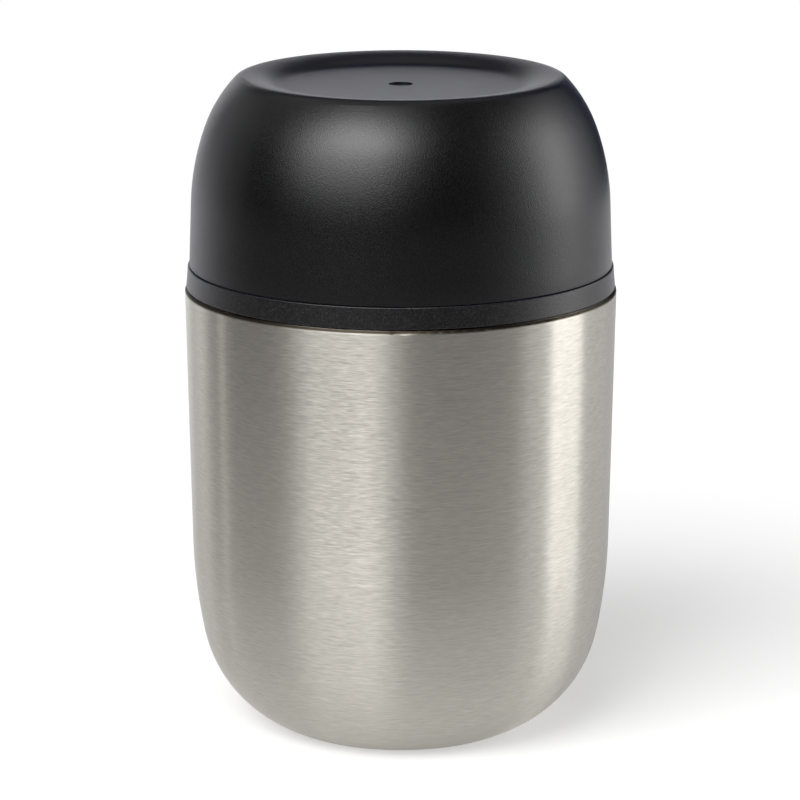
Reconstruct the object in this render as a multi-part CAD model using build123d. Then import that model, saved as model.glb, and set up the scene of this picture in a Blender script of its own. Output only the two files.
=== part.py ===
from build123d import *
from math import acos, cos, degrees, radians, sin, tan
import os

# Insulated food jar: a double-walled steel jar, an inner lid that screws over its neck and
# carries a vent button, and a domed cup that twist-locks onto the inner lid.
# Millimetres. The jar stands on Z = 0 and every turned piece has the Z axis as its own.

# ---- Steel jar: outer skin ------------------------------------------------------------
jar_radius = 47.85            # outer radius at the shoulder
jar_height = 99.6             # shoulder above the table
steel_wall = 0.6              # sheet of the skin and of the inner vessel
side_lean = 1.15              # degrees that the side leans in on its way down
side_foot_height = 42.3       # where the straight side turns into the base
belly_radius = 116.0          # gentle arc under the straight side
belly_angle = 10.7
base_angle = 56.5             # turn of the tighter arc that runs down to the foot
shoulder_round = 0.8          # rolled edge between side and shoulder
neck_round = 0.9              # bend between shoulder and neck
neck_height = 11.0            # lip above the shoulder

# ---- Steel jar: base ------------------------------------------------------------------
foot_width = 1.2              # flat ring that the jar stands on
base_flange_height = 4.2      # turned-in flange that the two base discs are welded to
disc_sheet = 0.8
weld_gap = 0.05               # between pieces that are welded or snapped together
cover_recess = 0.4            # base cover above the table
cover_dish_radius = 17.0
cover_dish_depth = 0.7
cover_dish_slope = 2.0        # run of the dish's slope for its rise
bottom_gap = 1.6              # between the base cover and the vacuum bottom
seal_dimple_radius = 4.5
seal_dimple_depth = 1.0
evacuation_hole_radius = 1.2
bead_margin = 1.0             # rim of the dimple left bare round the glass bead
bead_height = 0.7
bead_round = 0.5
getter_radius = 4.0
getter_height = 1.6
getter_round = 0.5
getter_place = 13.0           # distance of the getter from the axis

# ---- Inner vessel ---------------------------------------------------------------------
vacuum_gap = 3.6              # between skin and vessel at the straight side
neck_gap = 1.3                # between skin and vessel inside the neck
vessel_shoulder_drop = 2.5    # vessel shoulder below the jar's shoulder
vessel_shoulder_radius = 4.0
vessel_curve_height = 45.0
vessel_belly_radius = 110.0
vessel_belly_angle = 10.0
vessel_floor_height = 6.5
shield_gap = 0.15
shield_sheet = 0.2
shield_margin = 2.0           # bare steel left above and below the foil

# ---- Inner lid ------------------------------------------------------------------------
lid_gap = 0.3                 # open line between steel shoulder and band
band_height = 4.7             # visible ring under the cup
band_inset = 0.3              # band's lower edge inside the jar's radius
band_flare = 0.4              # band is this much narrower at its top
band_wall = 2.0
band_edge_round = 0.2
skirt_wall = 1.8              # threaded skirt over the neck
skirt_clearance = 0.5         # skirt above the steel shoulder
thread_room = 1.5             # radial room for the thread between neck and skirt
rib_count = 24                # stiffening ribs between band and skirt
rib_thickness = 1.1
rib_clearance = 0.9           # rib above the band's lower edge
rib_root = 0.5                # how far a rib runs into the walls that it joins
ceiling_thickness = 2.2
lid_cover_sheet = 1.8
cup_seal_seat = 3.4           # width of the ring that the cup's seal rests on
gasket_thickness = 1.6
gasket_clearance = 0.3        # soft ring clear of the walls beside it
finger_dish_depth = 0.8
finger_dish_margin = 7.0
button_bezel_width = 2.6
button_bezel_height = 0.8

# ---- Plug under the inner lid ---------------------------------------------------------
plug_clearance = 2.4          # plug wall inside the mouth, bridged by the plug seal
plug_wall = 1.6
plug_depth = 5.0              # plug floor below the jar's shoulder
plug_floor = 1.6
seal_groove_depth = 1.4
seal_groove_height = 5.0
groove_flange = 1.4           # lower flange of the seal groove
seal_core = 1.5               # solid ring of the plug seal
lip_start = 0.55              # underside of a lip above the foot of its half of the seal
lip_root = 1.3
lip_tip = 0.55
core_clearance = 0.25         # foam to the walls of its chamber

# ---- Vent button ----------------------------------------------------------------------
button_radius = 10.2
button_clearance = 0.3
button_proud = 0.6            # button top above its bezel
button_top = 1.8
button_wall = 1.3
button_edge_round = 0.6
button_dish = 0.5
button_dish_radius = 6.1
button_dish_round = 4.0
button_travel = 2.5
button_margin = 0.6           # left under the button's skirt at the end of its travel
button_boss = 1.5
well_wall = 1.4
well_depth = 8.6
well_floor = 1.6
stem_radius = 2.0
stem_socket = 3.0
guide_clearance = 0.08
vent_slot_count = 3
vent_slot_width = 1.2
vent_slot_depth = 1.1
vent_tube_clearance = 1.1     # air passage round the stem through the plug
vent_tube_wall = 1.4
valve_radius = 5.6
valve_thickness = 2.0
valve_head_radius = 3.3
valve_head_height = 0.9
valve_head_round = 0.5
spring_wire = 0.7
spring_turns = 4.5
spring_clearance = 0.7        # spring's inner side to the button's boss
spring_end_gap = 0.05

# ---- Cup ------------------------------------------------------------------------------
rim_gap = 0.12                # open line between band and cup
cup_step = 0.33               # cup rim inside the band's upper edge
cup_wall = 1.5
cup_rim_round = 0.2
latch_room = 1.8              # radial room for the twist-lock between collar and cup
cup_side_height = 14.0
cup_lean = 2.05               # degrees
cup_flank_radius = 54.2
cup_flank_angle = 17.85
cup_crown_radius = 31.0
cup_crown_angle = 23.1
crest_radius = 3.0
recess_depth = 2.1
recess_crest_radius = 15.0
recess_floor_round = 6.2
dimple_radius = 2.7
dimple_depth = 0.45
cup_seal_thickness = 1.5
liner_sheet = 1.4
liner_gap = 1.5               # air between cup shell and liner
liner_flange = 1.5
liner_floor_round = 9.0
ledge_height = 1.2            # rib in the shell that the liner's flange is welded to
ledge_gap = 0.4

# ---- Places worked out from the sizes above -------------------------------------------
lip_height = jar_height + neck_height
straight_side = jar_height - side_foot_height
waist_radius = jar_radius - straight_side * tan(radians(side_lean))
belly_end_lean = side_lean + belly_angle
base_end_lean = belly_end_lean + base_angle
belly_drop = belly_radius * (sin(radians(belly_end_lean)) - sin(radians(side_lean)))
belly_end_height = side_foot_height - belly_drop
base_radius = belly_end_height / (sin(radians(base_end_lean)) - sin(radians(belly_end_lean)))
vessel_radius = waist_radius - steel_wall - vacuum_gap

band_low = jar_height + lid_gap
band_top = band_low + band_height
band_low_radius = jar_radius - band_inset
band_top_radius = band_low_radius - band_flare
cup_radius = band_top_radius - cup_step
cup_bore = cup_radius - cup_wall
collar_radius = cup_bore - latch_room
skirt_bore = collar_radius - skirt_wall
neck_radius = skirt_bore - thread_room
mouth_radius = neck_radius - 2 * steel_wall - neck_gap

ceiling_height = lip_height + gasket_thickness
cover_seat_height = ceiling_height + ceiling_thickness
collar_top = cover_seat_height + lid_cover_sheet
lid_cover_radius = collar_radius - cup_seal_seat
plug_radius = mouth_radius - plug_clearance
plug_bore = plug_radius - seal_groove_depth - plug_wall
plug_low = jar_height - plug_depth
groove_low = plug_low + groove_flange
groove_top = groove_low + seal_groove_height
plug_floor_top = plug_low + plug_floor

well_bore = button_radius + button_clearance
well_radius = well_bore + well_wall
well_floor_top = collar_top - well_depth
well_low = well_floor_top - well_floor
bezel_top = collar_top + button_bezel_height
button_height = bezel_top + button_proud
button_under = button_height - button_top
button_low = well_floor_top + button_travel + button_margin
boss_radius = stem_radius + button_boss
vent_bore = stem_radius + vent_tube_clearance
vent_tube_radius = vent_bore + vent_tube_wall
spring_radius = boss_radius + spring_clearance + spring_wire / 2

cup_rim = band_top + rim_gap
seal_top = collar_top + cup_seal_thickness
flange_top = seal_top + liner_flange
cup_upright = 90.0 - cup_lean - cup_flank_angle - cup_crown_angle


# ---- Drawing helpers ------------------------------------------------------------------
overrun = 1.0                 # how far a form that cuts runs past the face that it opens


def turned(*edges):
    """Solid of revolution about Z of a closed outline drawn as (radius, height)."""
    face = make_face(Curve() + list(edges))
    return revolve(Plane.XZ * face, axis=Axis.Z)


def softened(corners, rounds):
    """Closed outline through the corners, with the corners named in rounds given a radius."""
    face = make_face(Polyline(*corners, close=True))
    for corner, radius in rounds:
        vertex = face.vertices().sort_by_distance(corner)[0]
        face = fillet(vertex, radius)
    return revolve(Plane.XZ * face, axis=Axis.Z)


def ring(inner, outer, low, high):
    """Plain turned ring, or a disc where inner is zero."""
    corners = [(inner, low), (outer, low), (outer, high), (inner, high)]
    return softened(corners, [])


def leaning(lean, upward):
    """Unit direction of an outline that leans in by so many degrees from upright."""
    return (-sin(radians(lean)), upward * cos(radians(lean)))


# ---- Steel jar ------------------------------------------------------------------------
def skin_form(inset, top):
    """Solid form of the jar's skin, drawn a constant distance inside the outer face."""
    lean = radians(side_lean)
    across = inset * cos(lean)
    shoulder = jar_height - inset
    edge_round = shoulder_round - inset
    neck = neck_radius - inset
    bend = neck_round + inset
    side_top_radius = jar_radius - inset / cos(lean) - edge_round
    bend_start = (neck, shoulder + bend)
    bend_end = (neck + bend, shoulder)
    bend_arc = RadiusArc(bend_start, bend_end, -bend)
    edge_arc = JernArc((side_top_radius, shoulder), (1, 0), edge_round, -90 - side_lean)
    side_end = (waist_radius - across, side_foot_height + inset * sin(lean))
    belly = JernArc(side_end, leaning(side_lean, -1), belly_radius - inset, -belly_angle)
    base = JernArc(belly @ 1, leaning(belly_end_lean, -1), base_radius - inset, -base_angle)
    foot = (base @ 1).Y
    return turned(
        Line((neck, top), bend_start),
        bend_arc,
        Line(bend_end, edge_arc @ 0),
        edge_arc,
        Line(edge_arc @ 1, side_end),
        belly,
        base,
        Line(base @ 1, (0, foot)),
        Line((0, foot), (0, top)),
        Line((0, top), (neck, top)),
    )


def foot_radius():
    """Radius at which the base arc meets the table."""
    top = cos(radians(side_lean))
    middle = cos(radians(belly_end_lean))
    low = cos(radians(base_end_lean))
    return waist_radius - belly_radius * (top - middle) - base_radius * (middle - low)


base_opening = foot_radius() - foot_width
disc_radius = base_opening - weld_gap
cover_top = cover_recess + disc_sheet
bottom_low = cover_top + bottom_gap
bottom_top = bottom_low + disc_sheet


def outer_shell():
    """Drawn skin: neck, shoulder, side and rounded base, with a flange turned in at the foot."""
    shell = skin_form(0, lip_height - steel_wall) - skin_form(steel_wall, lip_height)
    shell -= ring(0, base_opening, -overrun, base_flange_height)
    return shell + ring(base_opening, base_opening + steel_wall, 0, base_flange_height)


def vessel_form(inset, top):
    """Solid form of the food vessel, from its mouth down to its bowl-shaped floor."""
    mouth = mouth_radius + steel_wall - inset
    side = vessel_radius - inset
    step_out = vessel_radius - mouth_radius - steel_wall
    swing = degrees(acos(1 - step_out / (2 * vessel_shoulder_radius)))
    shoulder = jar_height - vessel_shoulder_drop
    out = JernArc((mouth, shoulder), (0, -1), vessel_shoulder_radius + inset, swing)
    back = JernArc(out @ 1, leaning(-swing, -1), vessel_shoulder_radius - inset, -swing)
    lean = vessel_belly_angle
    belly = JernArc((side, vessel_curve_height), (0, -1), vessel_belly_radius - inset, -lean)
    drop = (belly @ 1).Y - vessel_floor_height - inset
    bowl_radius = drop / (1 - sin(radians(lean)))
    bowl = JernArc(belly @ 1, leaning(lean, -1), bowl_radius, lean - 90)
    floor = (bowl @ 1).Y
    return turned(
        Line((mouth, top), out @ 0),
        out,
        back,
        Line(back @ 1, belly @ 0),
        belly,
        bowl,
        Line(bowl @ 1, (0, floor)),
        Line((0, floor), (0, top)),
        Line((0, top), (mouth, top)),
    )


def inner_vessel():
    """Food vessel with its mouth flanged out over the neck, where the two are welded."""
    vessel = vessel_form(0, lip_height) - vessel_form(steel_wall, lip_height + overrun)
    return vessel + ring(mouth_radius, neck_radius, lip_height - steel_wall, lip_height)


def heat_shield():
    """Foil sleeve wrapped round the straight part of the vessel."""
    inner = vessel_radius + shield_gap
    low = vessel_curve_height + shield_margin
    top = jar_height - vessel_shoulder_drop - 2 * vessel_shoulder_radius - shield_margin
    return ring(inner, inner + shield_sheet, low, top)


def vacuum_bottom():
    """Disc that closes the vacuum, pressed up in the middle round the evacuation hole."""
    dimple = seal_dimple_radius
    rise = seal_dimple_depth
    corners = [
        (evacuation_hole_radius, bottom_low + rise),
        (dimple, bottom_low + rise),
        (dimple + rise, bottom_low),
        (disc_radius, bottom_low),
        (disc_radius, bottom_top),
        (dimple + rise, bottom_top),
        (dimple, bottom_top + rise),
        (evacuation_hole_radius, bottom_top + rise),
    ]
    return softened(corners, [])


def vacuum_seal():
    """Glass bead melted into the dimple, with its plug in the evacuation hole."""
    under = bottom_low + seal_dimple_depth
    bead = ring(0, seal_dimple_radius - bead_margin, under - bead_height, under)
    bead = fillet(bead.edges().sort_by(Axis.Z)[0], bead_round)
    return bead + ring(0, evacuation_hole_radius - weld_gap, under, under + disc_sheet)


def getter():
    """Gas-absorbing pill on the vacuum side of the bottom disc."""
    pill = Pos(getter_place, 0, bottom_top) * Cylinder(
        getter_radius, getter_height, align=(Align.CENTER, Align.CENTER, Align.MIN)
    )
    return fillet(pill.edges().sort_by(Axis.Z)[-1], getter_round)


def base_cover():
    """Cover over the vacuum bottom, dished up in the middle."""
    dish = cover_dish_radius
    rise = cover_dish_depth
    slope_end = dish + cover_dish_slope * rise
    corners = [
        (0, cover_recess + rise),
        (dish, cover_recess + rise),
        (slope_end, cover_recess),
        (disc_radius, cover_recess),
        (disc_radius, cover_top),
        (slope_end, cover_top),
        (dish, cover_top + rise),
        (0, cover_top + rise),
    ]
    return softened(corners, [])


# ---- Inner lid ------------------------------------------------------------------------
def lid_body():
    """Moulded ring: visible band, skirt over the neck, collar inside the cup, and ceiling."""
    web_low = band_top - band_wall
    skirt_low = jar_height + skirt_clearance
    band_inner = band_top_radius - band_wall
    corners = [
        (skirt_bore, skirt_low),
        (collar_radius, skirt_low),
        (collar_radius, web_low),
        (band_inner, web_low),
        (band_inner, band_low),
        (band_low_radius, band_low),
        (band_top_radius, band_top),
        (collar_radius, band_top),
        (collar_radius, collar_top),
        (lid_cover_radius, collar_top),
        (lid_cover_radius, cover_seat_height),
        (plug_bore, cover_seat_height),
        (plug_bore, ceiling_height),
        (skirt_bore, ceiling_height),
    ]
    rounds = [
        ((band_low_radius, band_low), band_edge_round),
        ((band_top_radius, band_top), band_edge_round),
        ((band_inner, web_low), band_edge_round),
        ((collar_radius, collar_top), band_edge_round),
    ]
    body = softened(corners, rounds)
    rib_length = band_inner - collar_radius + 2 * rib_root
    rib_height = web_low - band_low - rib_clearance + rib_root
    rib = Pos(collar_radius - rib_root, 0, band_low + rib_clearance) * Box(
        rib_length, rib_thickness, rib_height, align=(Align.MIN, Align.CENTER, Align.MIN)
    )
    return body + [Rot(0, 0, step * 360 / rib_count) * rib for step in range(rib_count)]


def lid_cover():
    """Top disc of the inner lid, with a finger dish and the well of the vent button."""
    dish_outer = lid_cover_radius - finger_dish_margin
    dish_floor = collar_top - finger_dish_depth
    bezel_radius = well_bore + button_bezel_width
    cover_radius = lid_cover_radius - weld_gap
    guide = stem_radius + guide_clearance
    corners = [
        (guide, well_low),
        (well_radius, well_low),
        (well_radius, cover_seat_height),
        (cover_radius, cover_seat_height),
        (cover_radius, collar_top),
        (dish_outer, collar_top),
        (dish_outer - finger_dish_depth, dish_floor),
        (bezel_radius, dish_floor),
        (bezel_radius, bezel_top),
        (well_bore, bezel_top),
        (well_bore, well_floor_top),
        (guide, well_floor_top),
    ]
    rounds = [
        ((bezel_radius, bezel_top), button_bezel_height / 2),
        ((well_bore, bezel_top), button_bezel_height / 4),
        ((bezel_radius, dish_floor), finger_dish_depth / 2),
    ]
    cover = softened(corners, rounds)
    slot = Pos(guide, 0, well_low - overrun) * Box(
        2 * vent_slot_depth,
        vent_slot_width,
        well_floor + 2 * overrun,
        align=(Align.CENTER, Align.CENTER, Align.MIN),
    )
    return cover - [Rot(0, 0, step * 360 / vent_slot_count) * slot for step in range(vent_slot_count)]


def plug_pan():
    """Deep pan under the lid that holds the foam, with the seal groove and the vent tube."""
    groove = plug_radius - seal_groove_depth
    corners = [
        (vent_bore, plug_low),
        (plug_radius, plug_low),
        (plug_radius, groove_low),
        (groove, groove_low),
        (groove, groove_top),
        (plug_radius, groove_top),
        (plug_radius, ceiling_height),
        (plug_bore, ceiling_height),
        (plug_bore, plug_floor_top),
        (vent_tube_radius, plug_floor_top),
        (vent_tube_radius, well_low),
        (vent_bore, well_low),
    ]
    rounds = [
        ((plug_radius, plug_low), groove_flange / 2),
        ((plug_bore, plug_floor_top), plug_wall),
        ((vent_tube_radius, plug_floor_top), vent_tube_wall / 2),
    ]
    return softened(corners, rounds)


def insulation_core():
    """Foam puck that fills the chamber between the plug pan and the lid cover."""
    low = plug_floor_top + core_clearance
    step = well_low - core_clearance
    top = cover_seat_height - core_clearance
    outer = plug_bore - core_clearance
    tube = vent_tube_radius + core_clearance
    well = well_radius + core_clearance
    corners = [(tube, low), (outer, low), (outer, top), (well, top), (well, step), (tube, step)]
    rounds = [((outer, low), plug_wall + core_clearance), ((tube, low), vent_tube_wall)]
    return softened(corners, rounds)


def rim_gasket():
    """Flat silicone ring between the lid's ceiling and the jar's lip."""
    inner = plug_radius + gasket_clearance
    outer = skirt_bore - gasket_clearance
    corners = [(inner, lip_height), (outer, lip_height), (outer, ceiling_height), (inner, ceiling_height)]
    edge = gasket_thickness / 4
    return softened(corners, [(corners[2], edge), (corners[3], edge)])


def plug_seal():
    """Silicone ring in the plug's groove, with two lips that reach for the mouth."""
    inner = plug_radius - seal_groove_depth + gasket_clearance
    core = inner + seal_core
    tip = mouth_radius - gasket_clearance
    pitch = seal_groove_height / 2
    corners = [(inner, groove_low), (core, groove_low)]
    for lip in range(2):
        root = groove_low + lip * pitch
        corners += [
            (core, root + lip_start),
            (tip, root + lip_start + lip_root - lip_tip),
            (tip, root + lip_start + lip_root),
            (core, root + lip_start + lip_root),
        ]
    corners += [(core, groove_top), (inner, groove_top)]
    return softened(corners, [])


# ---- Vent -----------------------------------------------------------------------------
def vent_button():
    """Push button: dished cap with a skirt, and a boss with the socket of the stem."""
    skirt = button_radius - button_wall
    boss_low = button_under - stem_socket
    corners = [
        (0, button_height - button_dish),
        (button_dish_radius, button_height),
        (button_radius, button_height),
        (button_radius, button_low),
        (skirt, button_low),
        (skirt, button_under),
        (boss_radius, button_under),
        (boss_radius, boss_low),
        (0, boss_low),
    ]
    rounds = [
        ((button_radius, button_height), button_edge_round),
        ((button_dish_radius, button_height), button_dish_round),
        ((skirt, button_under), button_wall / 2),
    ]
    socket = ring(0, stem_radius + weld_gap, boss_low - overrun, button_under)
    return softened(corners, rounds) - socket


def vent_stem():
    """Stem from the button's socket through guide and tube, with a head under the valve."""
    head_top = plug_low - valve_thickness
    corners = [
        (0, head_top - valve_head_height),
        (valve_head_radius, head_top - valve_head_height),
        (valve_head_radius, head_top),
        (stem_radius, head_top),
        (stem_radius, button_under - weld_gap),
        (0, button_under - weld_gap),
    ]
    rounds = [(corners[1], valve_head_round), (corners[4], stem_radius / 4)]
    return softened(corners, rounds)


def vent_valve():
    """Silicone disc that the spring holds up against the mouth of the vent tube."""
    low = plug_low - valve_thickness
    inner = stem_radius + weld_gap
    corners = [(inner, low), (valve_radius, low), (valve_radius, plug_low), (inner, plug_low)]
    return softened(corners, [(corners[1], valve_thickness / 2)])


def vent_spring():
    """Compression spring between the floor of the well and the button's cap."""
    low = well_floor_top + spring_end_gap + spring_wire / 2
    height = button_under - spring_end_gap - spring_wire / 2 - low
    helix = Pos(0, 0, low) * Helix(height / spring_turns, height, spring_radius)
    section = Plane(helix @ 0, z_dir=helix % 0) * Circle(spring_wire / 2)
    return sweep(section, path=helix)


# ---- Cup ------------------------------------------------------------------------------
def cup_form(inset, low):
    """Solid form of the cup: leaning side, flank, crown and crest, then the sunk top."""
    lean = radians(cup_lean)
    side_top = cup_rim + cup_side_height
    start_radius = cup_radius - (low - cup_rim) * tan(lean) - inset / cos(lean)
    side_end = (
        cup_radius - cup_side_height * tan(lean) - inset * cos(lean),
        side_top - inset * sin(lean),
    )
    flank_lean = cup_lean + cup_flank_angle
    flank = JernArc(side_end, leaning(cup_lean, 1), cup_flank_radius - inset, cup_flank_angle)
    crown = JernArc(flank @ 1, leaning(flank_lean, 1), cup_crown_radius - inset, cup_crown_angle)
    crown_lean = flank_lean + cup_crown_angle
    crest = JernArc(crown @ 1, leaning(crown_lean, 1), crest_radius - inset, cup_upright)
    fall = degrees(acos(1 - recess_depth / (recess_crest_radius + recess_floor_round)))
    brow = JernArc(crest @ 1, (-1, 0), recess_crest_radius - inset, fall)
    foot = JernArc(brow @ 1, leaning(90 + fall, 1), recess_floor_round + inset, -fall)
    sunk = (foot @ 1).Y
    return turned(
        Line((start_radius, low), side_end),
        flank,
        crown,
        crest,
        brow,
        foot,
        Line(foot @ 1, (0, sunk)),
        Line((0, sunk), (0, low)),
        Line((0, low), (start_radius, low)),
    )


def cup_crest_height():
    """Highest point of the cup."""
    flank_lean = cup_lean + cup_flank_angle
    crown_lean = flank_lean + cup_crown_angle
    height = cup_rim + cup_side_height
    height += cup_flank_radius * (sin(radians(flank_lean)) - sin(radians(cup_lean)))
    height += cup_crown_radius * (sin(radians(crown_lean)) - sin(radians(flank_lean)))
    return height + crest_radius * (1 - sin(radians(crown_lean)))


recess_height = cup_crest_height() - recess_depth
liner_floor_top = recess_height - cup_wall - liner_gap


def side_radius(height, inset):
    """Radius of the cup's leaning side at a height, so far inside its outer face."""
    lean = radians(cup_lean)
    return cup_radius - (height - cup_rim) * tan(lean) - inset / cos(lean)


def cup_shell():
    """Outer shell of the cup, an even wall with a ledge inside for the liner."""
    shell = cup_form(0, cup_rim) - cup_form(cup_wall, cup_rim - overrun)
    ledge_inner = side_radius(flange_top, cup_wall + liner_gap - ledge_gap)
    ledge_outer = side_radius(flange_top, cup_wall / 2)
    shell += ring(ledge_inner, ledge_outer, flange_top, flange_top + ledge_height)
    shell -= ring(0, dimple_radius, recess_height - dimple_depth, recess_height + overrun)
    rim = shell.edges().group_by(Axis.Z)[0]
    return fillet(rim, cup_rim_round)


def liner_form(inset, low):
    """Solid form of the liner: it follows the shell's side, then closes in a flat floor."""
    across = cup_wall + liner_gap + inset
    lean = radians(cup_lean)
    side_end = (
        cup_radius - cup_side_height * tan(lean) - across * cos(lean),
        cup_rim + cup_side_height - across * sin(lean),
    )
    flank_lean = cup_lean + cup_flank_angle
    flank = JernArc(side_end, leaning(cup_lean, 1), cup_flank_radius - across, cup_flank_angle)
    floor = liner_floor_top - inset
    bend = liner_floor_round - inset
    rise = floor - bend * (1 - sin(radians(flank_lean))) - (flank @ 1).Y
    slope_end = ((flank @ 1).X - rise * tan(radians(flank_lean)), (flank @ 1).Y + rise)
    corner = JernArc(slope_end, leaning(flank_lean, 1), bend, 90 - flank_lean)
    start = (side_radius(low, across), low)
    return turned(
        Line(start, side_end),
        flank,
        Line(flank @ 1, slope_end),
        corner,
        Line(corner @ 1, (0, floor)),
        Line((0, floor), (0, low)),
        Line((0, low), start),
    )


def cup_liner():
    """Smooth inner bowl of the cup, with the flange that is welded under the ledge."""
    hollow = liner_form(liner_sheet, seal_top - overrun)
    inner = side_radius(seal_top, cup_wall + liner_gap + liner_sheet)
    outer = side_radius(flange_top, cup_wall + weld_gap)
    flange = ring(inner, outer, seal_top, flange_top)
    return liner_form(0, seal_top) + flange - hollow


def cup_seal():
    """Flat silicone ring between the liner's flange and the inner lid's collar."""
    inner = lid_cover_radius + gasket_clearance
    outer = collar_radius - gasket_clearance
    corners = [(inner, collar_top), (outer, collar_top), (outer, seal_top), (inner, seal_top)]
    edge = cup_seal_thickness / 4
    return softened(corners, [(corners[1], edge), (corners[2], edge)])


pieces = [
    outer_shell,
    inner_vessel,
    heat_shield,
    vacuum_bottom,
    vacuum_seal,
    getter,
    base_cover,
    rim_gasket,
    plug_seal,
    lid_body,
    lid_cover,
    plug_pan,
    insulation_core,
    vent_button,
    vent_stem,
    vent_valve,
    vent_spring,
    cup_seal,
    cup_shell,
    cup_liner,
]

os.makedirs("parts", exist_ok=True)
for piece in pieces:
    export_step(piece(), f"parts/{piece.__name__}.step")
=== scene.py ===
from collections import namedtuple
from math import atan2, cos, pi, radians, sin, tau

import bmesh
import bpy
from bpy.props import FloatProperty, FloatVectorProperty, IntProperty, PointerProperty
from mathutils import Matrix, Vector


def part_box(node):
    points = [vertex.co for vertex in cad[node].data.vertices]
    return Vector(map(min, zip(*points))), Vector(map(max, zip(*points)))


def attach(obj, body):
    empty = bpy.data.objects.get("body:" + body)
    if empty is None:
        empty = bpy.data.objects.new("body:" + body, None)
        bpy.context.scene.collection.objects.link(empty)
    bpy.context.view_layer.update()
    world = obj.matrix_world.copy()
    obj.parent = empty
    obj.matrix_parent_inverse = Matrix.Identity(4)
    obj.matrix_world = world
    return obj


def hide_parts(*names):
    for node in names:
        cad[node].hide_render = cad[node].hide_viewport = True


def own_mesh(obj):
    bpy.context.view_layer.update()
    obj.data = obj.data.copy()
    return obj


bl_info = {
    "name": "Food Jar",
    "version": (1, 0, 0),
    "blender": (4, 5, 0),
    "location": "View3D > Sidebar > Food Jar",
    "description": "Finishes, threads, latch lugs, vent spring and studio of an insulated food jar",
    "category": "Object",
}

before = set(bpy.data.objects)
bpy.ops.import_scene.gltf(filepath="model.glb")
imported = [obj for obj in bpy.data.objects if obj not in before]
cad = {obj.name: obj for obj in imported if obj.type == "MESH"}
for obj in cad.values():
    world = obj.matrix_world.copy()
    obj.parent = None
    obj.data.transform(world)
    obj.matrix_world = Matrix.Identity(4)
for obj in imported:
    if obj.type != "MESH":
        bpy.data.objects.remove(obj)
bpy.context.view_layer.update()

TURN_STEPS = 144              # steps of a full turn in spun pieces
SUNK = 0.00015                # how far a ridge or lug runs into the wall that carries it
WELD = 0.0000001              # points closer than this are one
SEAM_ANGLE = radians(6)       # faces that meet at less are one smooth surface
PLACE_DIGITS = 6              # decimals at which two corners count as one place
NORMAL_DIGITS = 2             # decimals at which two normals count as one


# ---- Sizes and colours that can be changed --------------------------------------------
def length(name, description, default):
    """Property that holds a length in metres."""
    return FloatProperty(
        name=name, description=description, default=default, min=0, precision=5, unit="LENGTH"
    )


def colour(name, description, default):
    """Property that holds a linear colour."""
    return FloatVectorProperty(
        name=name, description=description, default=default, min=0, max=1, size=3, subtype="COLOR"
    )


def share(name, description, default):
    """Property that holds a plain share from none to all."""
    return FloatProperty(
        name=name, description=description, default=default, min=0, max=1, subtype="FACTOR"
    )


def angle(name, description, default):
    """Property that holds an angle in radians."""
    return FloatProperty(name=name, description=description, default=default, unit="ROTATION")


def turns(name, description, default):
    """Property that holds a number of whole and part turns."""
    return FloatProperty(name=name, description=description, default=default, min=0)


class JarSizes(bpy.types.PropertyGroup):
    """Sizes of the threads, the latch and the spring."""

    skin_edge: length("Skin edge", "Level where the skin rolls in to the neck", 0.0996)
    thread_lead: length("Thread lead", "Rise of the inner lid in one turn", 0.004)
    thread_width: length("Thread width", "Width of a ridge at its foot", 0.0015)
    thread_depth: length("Thread depth", "Height of a ridge over its wall", 0.0011)
    thread_start: length("Thread start", "First ridge above the foot of the neck", 0.0033)
    neck_turns: turns("Neck turns", "Turns of the neck's ridge", 1.25)
    lid_turns: turns("Lid turns", "Turns of the lid's ridge, which stays below the gasket", 0.85)
    thread_fade: angle("Thread fade", "Turn over which a ridge runs out", radians(20))
    lug_count: IntProperty(
        name="Lugs", description="Latch lugs on the collar and in the cup", default=3, min=1
    )
    lug_span: angle("Lug span", "Width of a lug round the axis", radians(34))
    lug_depth: length("Lug depth", "Reach of a lug from its wall", 0.0012)
    lug_height: length("Lug height", "Height of a lug", 0.0015)
    lug_gap: length("Lug gap", "Play between the locked lugs", 0.0003)
    lug_round: length("Lug rounding", "Radius on the edges of a lug", 0.00025)
    spring_dead_turns: turns("Dead turns", "Closed turns at each end of the spring", 0.9)
    spring_live_turns: turns("Live turns", "Open turns of the spring", 3.4)


class JarColours(bpy.types.PropertyGroup):
    """Linear colours of the finishes."""

    steel: colour("Steel", "Brushed steel of the skin", (0.60, 0.576, 0.520))
    vessel: colour("Vessel", "Electropolished steel of the food vessel", (0.66, 0.65, 0.63))
    black: colour("Black plastic", "Cup", (0.0028, 0.0029, 0.0030))
    band: colour("Band plastic", "Moulded ring of the inner lid", (0.012, 0.012, 0.0124))
    lid: colour("Lid plastic", "Top of the inner lid", (0.030, 0.030, 0.032))
    plug: colour("Plug plastic", "Plug pan and vent stem", (0.036, 0.036, 0.038))
    liner: colour("Liner plastic", "Inner bowl of the cup", (0.030, 0.030, 0.032))
    button: colour("Button plastic", "Vent button", (0.22, 0.22, 0.23))
    silicone: colour("Silicone", "Seals and valve", (0.52, 0.52, 0.50))
    foam: colour("Foam", "Insulation in the inner lid", (0.84, 0.82, 0.76))
    foil: colour("Foil", "Heat shield in the vacuum", (0.80, 0.80, 0.80))
    glass: colour("Glass", "Bead that seals the vacuum", (0.42, 0.47, 0.44))
    getter: colour("Getter", "Pressed powder that keeps the vacuum", (0.30, 0.30, 0.31))
    wire: colour("Wire", "Spring under the vent button", (0.62, 0.62, 0.63))
    # Painted shade: a dark brown laid on the steel's rolled edge for the shaded gap under the lid's
    # band.
    painted_gap_shade: colour("Stain", "Brown that is left where the skin rolls in", (0.12, 0.10, 0.075))
    sheen: colour("Sheen", "Tint of the plastic at grazing angles", (0.20, 0.24, 1.0))


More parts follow.
